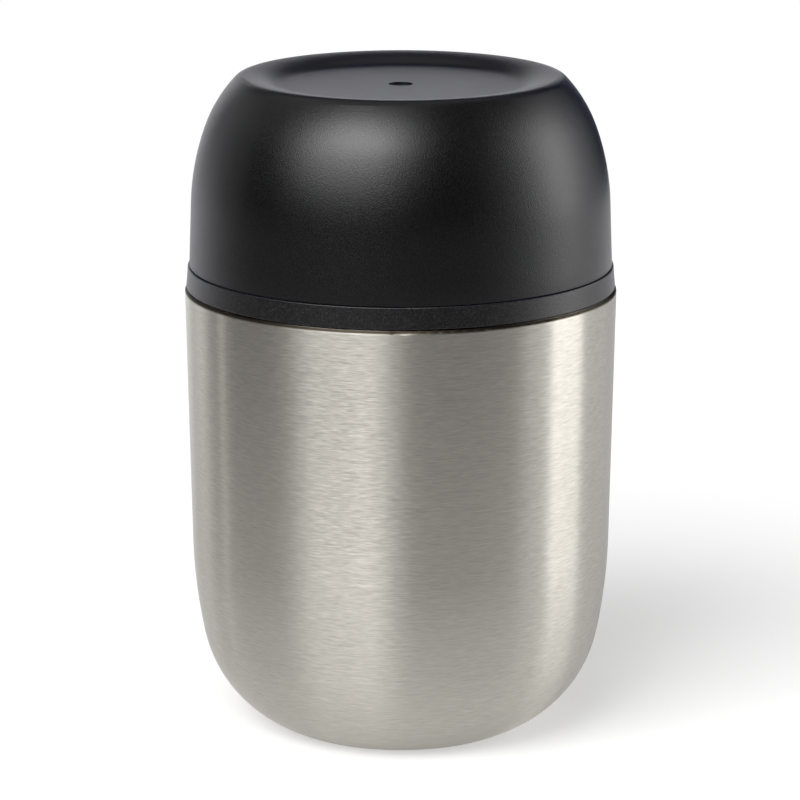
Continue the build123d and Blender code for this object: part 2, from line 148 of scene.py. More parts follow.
class JarStudio(bpy.types.PropertyGroup):
    """Camera, floor and light."""

    camera_back: length("Camera back", "Camera in front of the jar's axis", 0.906)
    camera_height: length("Camera height", "Camera above the floor", 0.2924)
    camera_aside: FloatProperty(
        name="Camera aside", description="Camera right of the axis", default=-0.00015, unit="LENGTH"
    )
    camera_pitch: angle("Camera pitch", "How far the camera looks down", 0.2373)
    camera_lens: FloatProperty(
        name="Lens", description="Focal length in millimetres", default=187.68, unit="CAMERA"
    )
    floor_radius: length("Floor radius", "Reach of the pale floor", 0.8)
    floor_white: share("Floor", "Brightness of the floor's surface", 0.74)
    floor_lift: share("Floor lift", "Light that the camera sees from the floor itself", 0.40)
    paper_radius: length("Paper radius", "Reach of the paper that lights the jar from below", 0.16)
    cloth_radius: length("Cloth radius", "Where the dark cloth round the paper is reached", 0.32)
    paper_tone: share("Paper", "Brightness of the paper to all but the camera", 0.40)
    cloth_tone: share("Cloth", "Share of the light that the cloth in front sends on", 0.35)


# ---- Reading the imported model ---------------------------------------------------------
def radii(node, low, high):
    """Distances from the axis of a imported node's points between two heights."""
    points = [v.co for v in cad[node].data.vertices if low <= v.co.z <= high]
    if not points:
        raise RuntimeError(f"{node} has no points between {low:.4f} and {high:.4f}")
    return [p.xy.length for p in points]


def widest(node, low, high):
    """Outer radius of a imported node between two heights."""
    return max(radii(node, low, high))


def narrowest(node, low, high):
    """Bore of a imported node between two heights."""
    return min(radii(node, low, high))


# ---- Mesh helpers ---------------------------------------------------------------------
def outline(bm, points):
    """Closed chain of vertices and edges through (radius, height) points in the XZ plane."""
    verts = [bm.verts.new((r, 0, z)) for r, z in points]
    edges = [bm.edges.new((a, b)) for a, b in zip(verts, verts[1:] + verts[:1])]
    return verts + edges


def spun(bm, geometry, turn, rise=0.0):
    """Spins geometry about Z through an angle, climbing as it goes, and returns its last ring."""
    steps = max(1, round(TURN_STEPS * abs(turn) / tau))
    result = bmesh.ops.spin(
        bm,
        geom=geometry,
        cent=(0, 0, 0),
        axis=(0, 0, 1),
        dvec=(0, 0, rise / steps),
        angle=turn,
        steps=steps,
        use_merge=False,
        use_duplicate=False,
    )
    return result["geom_last"]


def close_ends(bm):
    """Caps the open ends of a spun bar and turns its faces outwards."""
    rims = [e for e in bm.edges if e.is_boundary]
    bmesh.ops.holes_fill(bm, edges=rims, sides=0)
    bmesh.ops.remove_doubles(bm, verts=bm.verts, dist=WELD)
    bmesh.ops.recalc_face_normals(bm, faces=bm.faces)


def riding(name, mesh, body, material):
    """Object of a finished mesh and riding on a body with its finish."""
    mesh.materials.append(material)
    made = bpy.data.objects.new(name, mesh)
    bpy.context.scene.collection.objects.link(made)
    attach(made, body)
    return made


def piece(name, bm, body, material, smooth_angle=radians(40)):
    """Object from a bmesh, shaded smooth up to an angle."""
    mesh = bpy.data.meshes.new(name)
    bm.to_mesh(mesh)
    bm.free()
    for face in mesh.polygons:
        face.use_smooth = True
    mesh.set_sharp_from_angle(angle=smooth_angle)
    return riding(name, mesh, body, material)


def dress(node, material):
    """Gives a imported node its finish."""
    for material_slot in cad[node].material_slots:
        material_slot.material = material


def evened(node, name, body, material):
    """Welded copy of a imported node, with one normal on both sides of each smooth seam."""
    packed = cad[node].data
    points = [packed.vertices[corner.vertex_index].co for corner in packed.loops]
    ends = [point.to_tuple(PLACE_DIGITS) for point in points]
    given = [normal.vector.copy() for normal in packed.corner_normals]
    met = {}
    for end, normal in zip(ends, given):
        met.setdefault(end, {})[normal.to_tuple(NORMAL_DIGITS)] = normal
    bm = bmesh.new()
    bm.from_mesh(packed)
    shared = bm.loops.layers.float_vector.new("shared_normal")
    corners = [corner for face in bm.faces for corner in face.loops]
    for corner, end, normal in zip(corners, ends, given):
        near = [other for other in met[end].values() if other.dot(normal) > cos(SEAM_ANGLE)]
        corner[shared] = sum(near, normal * 0.0).normalized()
    bmesh.ops.remove_doubles(bm, verts=bm.verts, dist=WELD)
    kept = [corner[shared].copy() for face in bm.faces for corner in face.loops]
    bm.loops.layers.float_vector.remove(shared)
    mesh = bpy.data.meshes.new(name)
    bm.to_mesh(mesh)
    bm.free()
    mesh.normals_split_custom_set(kept)
    made = riding(name, mesh, body, material)
    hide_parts(node)
    return made


# ---- Node helpers ---------------------------------------------------------------------
NOISE_RANGE = (0.3, 0.7)      # values of a noise that are spread over a whole roughness
TINT_RANGE = (0.25, 0.75)     # values of a noise that are spread over a whole tint


def add_node(tree, kind, inputs=None, **settings):
    """New node with its settings, its inputs set to a value or joined to a socket."""
    made = tree.nodes.new(kind)
    for key, value in settings.items():
        setattr(made, key, value)
    for key, value in (inputs or {}).items():
        if isinstance(value, bpy.types.NodeSocket):
            tree.links.new(value, made.inputs[key])
        else:
            made.inputs[key].default_value = value
    return made


def figure(tree, operation, first, second=0.0, third=0.0):
    """Result of a maths node."""
    made = add_node(tree, "ShaderNodeMath", {0: first, 1: second, 2: third}, operation=operation)
    return made.outputs[0]


def spread(tree, value, low, high, start=0.0, end=1.0, smooth=False):
    """Value mapped from start..end to low..high and held there."""
    kind = "SMOOTHSTEP" if smooth else "LINEAR"
    made = add_node(
        tree,
        "ShaderNodeMapRange",
        {"Value": value, "From Min": start, "From Max": end, "To Min": low, "To Max": high},
        interpolation_type=kind,
    )
    return made.outputs["Result"]


def new_finish(name):
    """Material with an empty Principled shader, its tree and that shader."""
    material = bpy.data.materials.new(name)
    material.use_nodes = True
    tree = material.node_tree
    tree.nodes.clear()
    shader = add_node(tree, "ShaderNodeBsdfPrincipled")
    output = add_node(tree, "ShaderNodeOutputMaterial")
    tree.links.new(shader.outputs["BSDF"], output.inputs["Surface"])
    return material, tree, shader


def place(tree):
    """Object coordinates in metres."""
    return add_node(tree, "ShaderNodeTexCoord").outputs["Object"]


def speckle(tree, grain, detail=2.0, roughness=0.5):
    """Even noise with spots of about the given size in metres."""
    made = add_node(
        tree,
        "ShaderNodeTexNoise",
        {"Vector": place(tree), "Scale": 1 / grain, "Detail": detail, "Roughness": roughness},
    )
    return made.outputs["Fac"]


def brushing(tree, line_length, line_width, detail=2.0, roughness=0.5):
    """Noise drawn out into lines that run round the Z axis, also where a surface turns level."""
    parts = add_node(tree, "ShaderNodeSeparateXYZ", {"Vector": place(tree)})
    x, y, z = parts.outputs
    square = figure(tree, "MULTIPLY_ADD", x, x, figure(tree, "MULTIPLY", y, y))
    across = figure(tree, "ADD", figure(tree, "SQRT", square), z)
    vector = add_node(
        tree,
        "ShaderNodeCombineXYZ",
        {
            "X": figure(tree, "DIVIDE", x, line_length),
            "Y": figure(tree, "DIVIDE", y, line_length),
            "Z": figure(tree, "DIVIDE", across, line_width),
        },
    )
    made = add_node(
        tree,
        "ShaderNodeTexNoise",
        {"Vector": vector.outputs[0], "Scale": 1.0, "Detail": detail, "Roughness": roughness},
    )
    return made.outputs["Fac"]


def noisy(tree, noise, low, high):
    """Noise mapped from the range that it mostly fills to low..high."""
    return spread(tree, noise, low, high, *NOISE_RANGE)


def scaled(tree, base, level):
    """Colour times a level."""
    if not isinstance(base, bpy.types.NodeSocket):
        base = tuple(base)
    made = add_node(tree, "ShaderNodeVectorMath", {0: base, "Scale": level}, operation="SCALE")
    return made.outputs["Vector"]


def tinted(tree, base, noise, low, high):
    """Base colour made darker or lighter by a noise."""
    return scaled(tree, base, spread(tree, noise, low, high, *TINT_RANGE))


def raised(tree, shader, height, depth):
    """Relief on a shader from a height that runs from 0 to 1 over a depth in metres."""
    relief = add_node(
        tree, "ShaderNodeBump", {"Height": height, "Distance": depth, "Strength": 1.0}
    )
    tree.links.new(relief.outputs["Normal"], shader.inputs["Normal"])


def join(tree, shader, **sockets):
    """Joins values to the shader's inputs, with an underscore for a space in a name."""
    for key, value in sockets.items():
        tree.links.new(value, shader.inputs[key.replace("_", " ")])


def fix(shader, **values):
    """Sets constants on the shader's own inputs, with an underscore for a space in a name."""
    for key, value in values.items():
        shader.inputs[key.replace("_", " ")].default_value = value


# ---- Finishes -------------------------------------------------------------------------
# Lengths below the level where the steel skin rolls in: where its roll begins to dull and is
# dull, where the painted brown shade of the gap under the lid's band begins and is full,
# and where the neck's own finish takes over.
ROLL_DULLING = (0.0009, 0.0003)
ROLL_GAP_SHADE = (0.00065, 0.00035)
ROLL_END = 0.00004
ROLL_ROUGHNESS = 0.4          # added to the roughness of the brushed side


def brushed_steel(name, base, painted_gap_shade, edge, low=0.28, high=0.34):
    """Satin steel brushed round the axis, duller where it rolls in at a level and painted there
    with the brown shade of the gap under the lid's band.
    """
    material, tree, shader = new_finish(name)
    streaks = brushing(tree, 0.006, 0.0005, 2.0, 0.6)
    hairs = brushing(tree, 0.0025, 0.00017, 1.0)
    tone = figure(tree, "MULTIPLY_ADD", hairs, 0.7, figure(tree, "MULTIPLY", streaks, 0.3))
    bright = tinted(tree, base, tone, 0.80, 1.20)

    # Painted shade: on the rolled edge the brushed colour gives way to a dark brown, the shade of
    # the gap under the lid's band, which also dims the edge's highlight.
    _, _, z = add_node(tree, "ShaderNodeSeparateXYZ", {"Vector": place(tree)}).outputs
    start, full = (edge - below for below in ROLL_GAP_SHADE)
    side = spread(tree, z, 1.0, 0.0, edge - ROLL_END, edge)
    painted_shade_mask = spread(tree, z, 0.0, 1.0, start, full, smooth=True)
    painted_shade_mask = figure(tree, "MULTIPLY", painted_shade_mask, side)
    steel_out_of_shade = scaled(tree, bright, spread(tree, painted_shade_mask, 1.0, 0.0))
    painted_brown_shade = scaled(tree, painted_gap_shade, painted_shade_mask)
    both = add_node(tree, "ShaderNodeVectorMath", {0: steel_out_of_shade, 1: painted_brown_shade}, operation="ADD")
    join(tree, shader, Base_Color=both.outputs["Vector"])

    start, full = (edge - below for below in ROLL_DULLING)
    rolled = spread(tree, z, 0.0, ROLL_ROUGHNESS, start, full, smooth=True)
    rough = noisy(tree, hairs, low, high)
    join(tree, shader, Roughness=figure(tree, "MULTIPLY_ADD", rolled, side, rough))
    fix(shader, Metallic=1.0, Anisotropic=1.0, Anisotropic_Rotation=0.25)
    raised(tree, shader, hairs, 0.0000004)
    return material


def drawn_steel(name, base):
    """Semi-bright drawn steel with faint rings."""
    material, tree, shader = new_finish(name)
    rings = brushing(tree, 0.09, 0.0012, 3.0)
    blotches = speckle(tree, 0.012, 3.0)
    join(tree, shader, Base_Color=tinted(tree, base, blotches, 0.94, 1.05))
    join(tree, shader, Roughness=noisy(tree, rings, 0.17, 0.27))
    fix(shader, Metallic=1.0, Anisotropic=0.4, Anisotropic_Rotation=0.25)
    raised(tree, shader, rings, 0.000006)
    return material


def turned_steel(name, base):
    """Satin disc with the fine rings of its turning."""
    material, tree, shader = new_finish(name)
    rings = brushing(tree, 0.16, 0.00035, 3.0, 0.6)
    blotches = speckle(tree, 0.009, 2.0)
    join(tree, shader, Base_Color=tinted(tree, base, rings, 0.88, 1.08))
    join(tree, shader, Roughness=noisy(tree, blotches, 0.30, 0.40))
    fix(shader, Metallic=1.0, Anisotropic=0.7, Anisotropic_Rotation=0.25)
    raised(tree, shader, rings, 0.000008)
    return material


def foil(name, base):
    """Bright foil with soft creases."""
    material, tree, shader = new_finish(name)
    creases = speckle(tree, 0.0045, 4.0, 0.6)
    join(tree, shader, Base_Color=tinted(tree, base, creases, 0.90, 1.06))
    join(tree, shader, Roughness=noisy(tree, creases, 0.14, 0.26))
    fix(shader, Metallic=1.0)
    raised(tree, shader, creases, 0.0004)
    return material


def fused_glass(name, base):
    """Solder glass with small bubbles."""
    material, tree, shader = new_finish(name)
    bubbles = speckle(tree, 0.0005, 2.0)
    join(tree, shader, Base_Color=tinted(tree, base, bubbles, 0.80, 1.10))
    join(tree, shader, Roughness=noisy(tree, bubbles, 0.06, 0.16))
    fix(shader, IOR=1.6)
    raised(tree, shader, speckle(tree, 0.0014), 0.00006)
    return material


def sintered(name, base):
    """Dull pressed powder."""
    material, tree, shader = new_finish(name)
    grains = speckle(tree, 0.00018, 3.0, 0.7)
    join(tree, shader, Base_Color=tinted(tree, base, grains, 0.72, 1.2))
    join(tree, shader, Roughness=noisy(tree, grains, 0.6, 0.8))
    fix(shader, Metallic=0.6)
    raised(tree, shader, grains, 0.00003)
    return material


def sparked_plastic(name, base, sheen_tint):
    """Matt moulded plastic with the fine sparkle of an eroded mould."""
    material, tree, shader = new_finish(name)
    grains = speckle(tree, 0.00028, 2.0, 0.6)
    flow = speckle(tree, 0.03, 2.0)
    flecks = speckle(tree, 0.00035, 1.0)
    join(tree, shader, Base_Color=scaled(tree, base, spread(tree, flecks, 0.5, 2.8, 0.45, 0.75)))
    rough = figure(tree, "MULTIPLY_ADD", flow, 0.02, noisy(tree, grains, 0.275, 0.33))
    join(tree, shader, Roughness=rough)
    fix(shader, IOR=1.56, Sheen_Weight=0.05, Sheen_Roughness=0.4, Sheen_Tint=(*sheen_tint, 1.0))
    raised(tree, shader, grains, 0.00005)
    return material


def satin_plastic(name, base, low=0.28, high=0.38, grain=0.0003, relief=0.000004):
    """Smooth moulded plastic with a soft gloss."""
    material, tree, shader = new_finish(name)
    grains = speckle(tree, grain, 3.0, 0.6)
    flow = speckle(tree, 0.02, 2.0)
    join(tree, shader, Base_Color=tinted(tree, base, flow, 0.93, 1.07))
    join(tree, shader, Roughness=noisy(tree, flow, low, high))
    fix(shader, IOR=1.49)
    raised(tree, shader, grains, relief)
    return material


def silicone(name, base):
    """Soft translucent rubber with a dusty bloom."""
    material, tree, shader = new_finish(name)
    bloom = speckle(tree, 0.0022, 4.0, 0.6)
    join(tree, shader, Base_Color=tinted(tree, base, bloom, 0.90, 1.08))
    join(tree, shader, Roughness=noisy(tree, bloom, 0.48, 0.64))
    fix(
        shader,
        IOR=1.41,
        Subsurface_Weight=0.35,
        Subsurface_Radius=(0.9, 0.9, 0.85),
        Subsurface_Scale=0.0012,
        Sheen_Weight=0.08,
        Sheen_Roughness=0.5,
    )
    raised(tree, shader, speckle(tree, 0.00025, 2.0), 0.000006)
    return material


def closed_foam(name, base):
    """Insulating foam with small closed cells."""
    material, tree, shader = new_finish(name)
    cells = add_node(
        tree, "ShaderNodeTexVoronoi", {"Vector": place(tree), "Scale": 1 / 0.0011}
    ).outputs["Distance"]
    join(tree, shader, Base_Color=tinted(tree, base, cells, 1.04, 0.84))
    join(tree, shader, Roughness=spread(tree, cells, 0.7, 0.9, 0.2, 0.7))
    raised(tree, shader, cells, 0.00016)
    return material


def drawn_wire(name, base):
    """Bright spring wire with drawing marks."""
    material, tree, shader = new_finish(name)
    marks = speckle(tree, 0.00035, 3.0, 0.6)
    join(tree, shader, Base_Color=tinted(tree, base, marks, 0.90, 1.08))
    join(tree, shader, Roughness=noisy(tree, marks, 0.16, 0.28))
    fix(shader, Metallic=1.0)
    raised(tree, shader, marks, 0.000004)
    return material


def finish(name, make, *details):
    """Material by its name, made the first time that it is asked for."""
    return bpy.data.materials.get(name) or make(name, *details)


def black_plastic():
    """Finish of the cup and its lugs."""
    tints = bpy.context.scene.jar_colours
    return finish("sparked_black_plastic", sparked_plastic, tints.black, tints.sheen)


def band_plastic():
    """Finish of the inner lid's moulded ring and its lugs."""
    tints = bpy.context.scene.jar_colours
    return finish("sparked_band_plastic", sparked_plastic, tints.band, tints.sheen)


def skin_steel():
    """Finish of the jar's skin and of the thread rolled into its neck."""
    tints, sizes = bpy.context.scene.jar_colours, bpy.context.scene.jar_sizes
    return finish("brushed_steel_round", brushed_steel, tints.steel, tints.painted_gap_shade, sizes.skin_edge)


# ---- Threads, lugs and spring ---------------------------------------------------------
CUP_MOUTH = 0.004             # height above the cup's rim in which its bore is measured
RIDGE_POINTS = 9              # points across the section of a thread's ridge
RIDGE_FULLNESS = 0.6          # 1 for a sine's section, less for a broader crest
RIDGE_END = 0.1               # share of its height that a ridge keeps at its ends
LUG_EDGE_ANGLE = radians(60)  # edges of a lug that turn more are rounded
LUG_ROUND_STEPS = 3
WIRE_SIDES = 14


def ridge_points(root, crest, middle, width):
    """Rounded section of a ridge: from its root radius to its crest, about a middle height."""
    section = []
    for step in range(RIDGE_POINTS):
        across = step / (RIDGE_POINTS - 1)
        rise = sin(pi * across) ** RIDGE_FULLNESS
        section.append((root + (crest - root) * rise, middle + width * (across - 0.5)))
    return section


def thread_ridge(root, crest, middle, turn_count, sizes):
    """Helical ridge of a right-hand thread that runs out at both ends."""
    bm = bmesh.new()
    turn = tau * turn_count
    rise = sizes.thread_lead * turn_count
    section = outline(bm, ridge_points(root, crest, middle, sizes.thread_width))
    spun(bm, section, turn, rise)
    close_ends(bm)
    for v in bm.verts:
        about = atan2(v.co.y, v.co.x)
        climbed = (v.co.z - middle) / sizes.thread_lead
        along = about + tau * round(climbed - about / tau)
        fade = max(0.0, min(along, turn - along)) / sizes.thread_fade
        keep = RIDGE_END + (1 - RIDGE_END) * sin(min(1.0, fade) * pi / 2)
        radius = root + (v.co.xy.length - root) * keep
        v.co.xy = v.co.xy.normalized() * radius
    return bm


def lug_ring(inner, outer, low, high, sizes):
    """Ring of latch lugs between two radii and two heights, their edges rounded."""
    bm = bmesh.new()
    for number in range(sizes.lug_count):
        corners = [(inner, low), (outer, low), (outer, high), (inner, high)]
        section = outline(bm, corners)
        verts = [v for v in section if isinstance(v, bmesh.types.BMVert)]
        start = tau * number / sizes.lug_count - sizes.lug_span / 2
        turn_about_axis(bm, verts, start)
        spun(bm, section, sizes.lug_span)
    close_ends(bm)
    edges = [e for e in bm.edges if e.is_manifold and e.calc_face_angle() > LUG_EDGE_ANGLE]
    bmesh.ops.bevel(
        bm,
        geom=edges,
        offset=sizes.lug_round,
        segments=LUG_ROUND_STEPS,
        profile=0.5,
        affect="EDGES",
        material=-1,
    )
    return bm


def turn_about_axis(bm, verts, turn):
    """Turns vertices about Z."""
    for v in verts:
        x, y = v.co.xy
        v.co.xy = (x * cos(turn) - y * sin(turn), x * sin(turn) + y * cos(turn))


def wound_wire(radius, wire, low, high, sizes):
    """Compression spring with closed ends, from its lowest to its highest point."""
    bm = bmesh.new()
    circle = bmesh.ops.create_circle(bm, cap_ends=False, segments=WIRE_SIDES, radius=wire / 2)
    for v in circle["verts"]:
        v.co = Vector((radius + v.co.x, 0, low + wire / 2 + v.co.y))
    loop = circle["verts"] + list(bm.edges)
    dead = (sizes.spring_dead_turns, wire * sizes.spring_dead_turns)
    live = (sizes.spring_live_turns, high - low - wire - 2 * dead[1])
    for turn_count, rise in (dead, live, dead):
        loop = spun(bm, loop, tau * turn_count, rise)
    close_ends(bm)
    return bm


# ---- Operators ------------------------------------------------------------------------
class DressSkin(bpy.types.Operator):
    """Brush the steel skin and turn the base cover"""

    bl_idname = "food_jar.dress_skin"
    bl_label = "Steel skin and base"

    def execute(self, context):
        tints = context.scene.jar_colours
        dress("outer_shell", skin_steel())
        dress("base_cover", finish("turned_base_steel", turned_steel, tints.steel))
        return {"FINISHED"}


class DressVessel(bpy.types.Operator):
    """Finish the food vessel and what lies in the vacuum round it"""

    bl_idname = "food_jar.dress_vessel"
    bl_label = "Food vessel and vacuum parts"

    def execute(self, context):
        tints = context.scene.jar_colours
        vessel = finish("drawn_vessel_steel", drawn_steel, tints.vessel)
        dress("inner_vessel", vessel)
        dress("vacuum_bottom", vessel)
        dress("heat_shield", finish("creased_foil", foil, tints.foil))
        dress("vacuum_seal", finish("solder_glass", fused_glass, tints.glass))
        dress("getter", finish("getter_powder", sintered, tints.getter))
        return {"FINISHED"}


class AddNeckThread(bpy.types.Operator):
    """Roll the thread into the jar's neck"""

    bl_idname = "food_jar.add_neck_thread"
    bl_label = "Neck thread"

    def execute(self, context):
        sizes = context.scene.jar_sizes
        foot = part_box("lid_body")[0].z
        neck_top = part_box("outer_shell")[1].z
        neck = widest("outer_shell", neck_top - SUNK, neck_top)
        middle = foot + sizes.thread_start
        crest = neck + sizes.thread_depth
        bm = thread_ridge(neck - SUNK, crest, middle, sizes.neck_turns, sizes)
        piece("neck_thread", bm, "flask", skin_steel())
        return {"FINISHED"}


class DressInnerLid(bpy.types.Operator):
    """Finish the moulded parts of the inner lid and its foam"""

    bl_idname = "food_jar.dress_inner_lid"
    bl_label = "Inner lid"

    def execute(self, context):
        tints = context.scene.jar_colours
        dress("lid_body", band_plastic())
        dress("lid_cover", finish("satin_lid_plastic", satin_plastic, tints.lid))
        dress("plug_pan", finish("satin_plug_plastic", satin_plastic, tints.plug))
        dress("insulation_core", finish("closed_cell_foam", closed_foam, tints.foam))
        return {"FINISHED"}


class AddLidThread(bpy.types.Operator):
    """Mould the thread inside the inner lid's skirt"""

    bl_idname = "food_jar.add_lid_thread"
    bl_label = "Lid thread"

    def execute(self, context):
        sizes = context.scene.jar_sizes
        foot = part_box("lid_body")[0].z
        skirt = narrowest("lid_body", foot, foot + 2 * sizes.thread_start)
        middle = foot + sizes.thread_start - sizes.thread_lead / 2
        crest = skirt - sizes.thread_depth
        bm = thread_ridge(skirt + SUNK, crest, middle, sizes.lid_turns, sizes)
        piece("lid_thread", bm, "inner_lid", band_plastic())
        return {"FINISHED"}


class AddLatchLugs(bpy.types.Operator):
    """Mould the lugs by which the cup locks onto the inner lid"""

    bl_idname = "food_jar.add_latch_lugs"
    bl_label = "Latch lugs"

    def execute(self, context):
        sizes = context.scene.jar_sizes
        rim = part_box("cup_shell")[0].z
        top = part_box("lid_cover")[1].z
        collar = widest("lid_body", rim + sizes.lug_height, top)
        bore = narrowest("cup_shell", rim, rim + CUP_MOUTH)
        cup_low = rim + 2 * sizes.lug_gap
        cup_high = cup_low + sizes.lug_height
        low = cup_high + sizes.lug_gap
        high = low + sizes.lug_height
        outer = collar + sizes.lug_depth
        lugs = lug_ring(collar - SUNK, outer, low, high, sizes)
        piece("collar_lugs", lugs, "inner_lid", band_plastic())
        lugs = lug_ring(bore - sizes.lug_depth, bore + SUNK, cup_low, cup_high, sizes)
        piece("cup_lugs", lugs, "cup", black_plastic())
        return {"FINISHED"}


class DressVent(bpy.types.Operator):
    """Finish the vent's button, stem and valve"""

    bl_idname = "food_jar.dress_vent"
    bl_label = "Vent button, stem and valve"

    def execute(self, context):
        tints = context.scene.jar_colours
        button = finish("satin_button_plastic", satin_plastic, tints.button, 0.32, 0.42)
        dress("vent_button", button)
        dress("vent_stem", finish("satin_plug_plastic", satin_plastic, tints.plug))
        dress("vent_valve", finish("grey_silicone", silicone, tints.silicone))
        return {"FINISHED"}


class AddVentSpring(bpy.types.Operator):
    """Wind the vent's spring with closed ends"""

    bl_idname = "food_jar.add_vent_spring"
    bl_label = "Vent spring"

    def execute(self, context):
        low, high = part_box("vent_spring")
        outer = high.x
        inner = narrowest("vent_spring", low.z, high.z)
        sizes, tints = context.scene.jar_sizes, context.scene.jar_colours
        bm = wound_wire((inner + outer) / 2, outer - inner, low.z, high.z, sizes)
        bright = finish("spring_wire", drawn_wire, tints.wire)
        coil = piece("vent_spring_coil", bm, "inner_lid", bright)
        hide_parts("vent_spring")
        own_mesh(coil)
        return {"FINISHED"}


class DressSeals(bpy.types.Operator):
    """Finish the silicone rings"""

    bl_idname = "food_jar.dress_seals"
    bl_label = "Seals"

    def execute(self, context):
        rubber = finish("grey_silicone", silicone, context.scene.jar_colours.silicone)
        for node in ("rim_gasket", "plug_seal", "cup_seal"):
            dress(node, rubber)
        return {"FINISHED"}


class DressCup(bpy.types.Operator):
    """Finish the cup's shell and its inner bowl"""

    bl_idname = "food_jar.dress_cup"
    bl_label = "Cup"

    def execute(self, context):
        evened("cup_shell", "cup_skin", "cup", black_plastic())
        liner = finish("satin_liner_plastic", satin_plastic, context.scene.jar_colours.liner)
        dress("cup_liner", liner)
        return {"FINISHED"}


# ---- Studio ---------------------------------------------------------------------------
# A panel of the light tent: middle and half width round the jar, middle and half height above
# the horizon, soft edge sideways and up, all in degrees with azimuth 0 at the camera and
# growing to its right, and the brightness that it adds, where 1 is white. A dark card adds
# none and hides the tent behind it, and the soft boxes stand in front of the cards.
TentPanel = namedtuple("TentPanel", "middle half level half_height edge edge_up brightness")
WHITE_TENT = 1.0              # the tent to the camera and in what metal and glass show
TENT_LIGHT = 1.0              # the tent as light
DARK_CARDS = {
    "drape": (10, 160, 0, 91, 14, 1, 0.0),
    "roof cloth": (180, 60, 55, 38, 14, 12, 0.0),
}
SOFT_BOXES = {
    "key box": (-34, 22, 44, 15, 22, 18, 5.0),
    "key core": (-34, 24, 22, 8, 16, 12, 2.0),
    "key foot": (-34, 12, 46, 9, 16, 14, 2.4),
    "key right": (-11, 12, 44, 12, 14, 14, 4.6),
    "key left": (-58, 12, 36, 13, 14, 14, 2.3),
    "key haze": (-30, 42, 60, 20, 30, 20, 0.5),
    "right box": (99, 12, -4, 18, 6, 10, 2.9),
    "right box top": (102, 14, 22, 10, 6, 12, 2.9),
    "right wing": (80, 12, 8, 26, 14, 14, 0.7),
    "right edge": (88, 4, 30, 30, 6, 20, 0.5),
    "right far": (124, 16, 6, 30, 14, 14, 0.45),
    "right haze": (90, 38, 10, 30, 40, 24, 0.2),
    "left strip": (-109, 3, 8, 25, 3, 10, 0.95),
    "left middle": (-131, 7, 0, 30, 12, 14, 0.7),
    "left high": (-112, 34, 56, 20, 20, 18, 0.25),
    "left low": (-140, 14, -16, 14, 14, 14, 0.5),
    "zenith box": (0, 180, 86, 9, 1, 8, 0.4),
    "back high": (-175, 60, 62, 20, 18, 16, 0.25),
}
# The dark cloth on the floor: its middle, half width and soft edge, in the same degrees.
CLOTH_MIDDLE = -20.0
CLOTH_HALF = 95.0
CLOTH_EDGE = 50.0
FLOOR_SIDES = 96
FLOOR_FADE = 0.9              # share of the floor's radius at which it is as white as the tent


def within(tree, away, half, edge):
    """1 where a distance from a middle is under half, 0 over it, with a soft edge between."""
    away = figure(tree, "ABSOLUTE", away)
    return spread(tree, away, 1.0, 0.0, half - edge / 2, half + edge / 2, smooth=True)


def panel_mask(tree, azimuth, height, panel):
    """Share of a panel in a direction, from none outside it to all inside it."""
    aside = figure(tree, "SUBTRACT", azimuth, panel.middle)
    aside = figure(tree, "WRAP", aside, 180.0, -180.0)
    above = figure(tree, "SUBTRACT", height, panel.level)
    across = within(tree, aside, panel.half, panel.edge)
    up = within(tree, above, panel.half_height, panel.edge_up)
    return figure(tree, "MULTIPLY", across, up)


def seen_background(tree):
    """Whether a ray shows the background: the camera's, or one that metal or glass sends on."""
    rays = add_node(tree, "ShaderNodeLightPath").outputs
    seen = figure(tree, "MAXIMUM", rays["Is Camera Ray"], rays["Is Glossy Ray"])
    return figure(tree, "MAXIMUM", seen, rays["Is Transmission Ray"])


def around(tree, vector):
    """Azimuth in degrees of a direction or a place, 0 at the camera and growing to its right."""
    x, y, z = add_node(tree, "ShaderNodeSeparateXYZ", {"Vector": vector}).outputs
    azimuth = figure(tree, "ARCTAN2", x, figure(tree, "MULTIPLY", y, -1.0))
    return figure(tree, "DEGREES", azimuth), z


def light_tent(scene):
    """World that is white to the camera and a white tent with cards and soft boxes to the jar."""
    world = bpy.data.worlds.new("light_tent")
    scene.world = world
    world.use_nodes = True
    tree = world.node_tree
    tree.nodes.clear()
    azimuth, z = around(tree, add_node(tree, "ShaderNodeTexCoord").outputs["Generated"])
    height = figure(tree, "DEGREES", figure(tree, "ARCSINE", z))
    level = spread(tree, seen_background(tree), TENT_LIGHT, WHITE_TENT)
    for card in DARK_CARDS.values():
        mask = panel_mask(tree, azimuth, height, TentPanel(*card))
        level = figure(tree, "MULTIPLY", level, figure(tree, "SUBTRACT", 1.0, mask))
    for box in SOFT_BOXES.values():
        panel = TentPanel(*box)
        mask = panel_mask(tree, azimuth, height, panel)
        level = figure(tree, "MULTIPLY_ADD", mask, panel.brightness, level)
    seen = add_node(tree, "ShaderNodeLightPath").outputs["Is Camera Ray"]
    level = add_node(
        tree, "ShaderNodeMix", {"Factor": seen, "A": level, "B": WHITE_TENT}, data_type="FLOAT"
    ).outputs["Result"]
    shine = add_node(tree, "ShaderNodeBackground", {"Color": (1, 1, 1, 1), "Strength": level})
    output = add_node(tree, "ShaderNodeOutputWorld")
    tree.links.new(shine.outputs[0], output.inputs["Surface"])


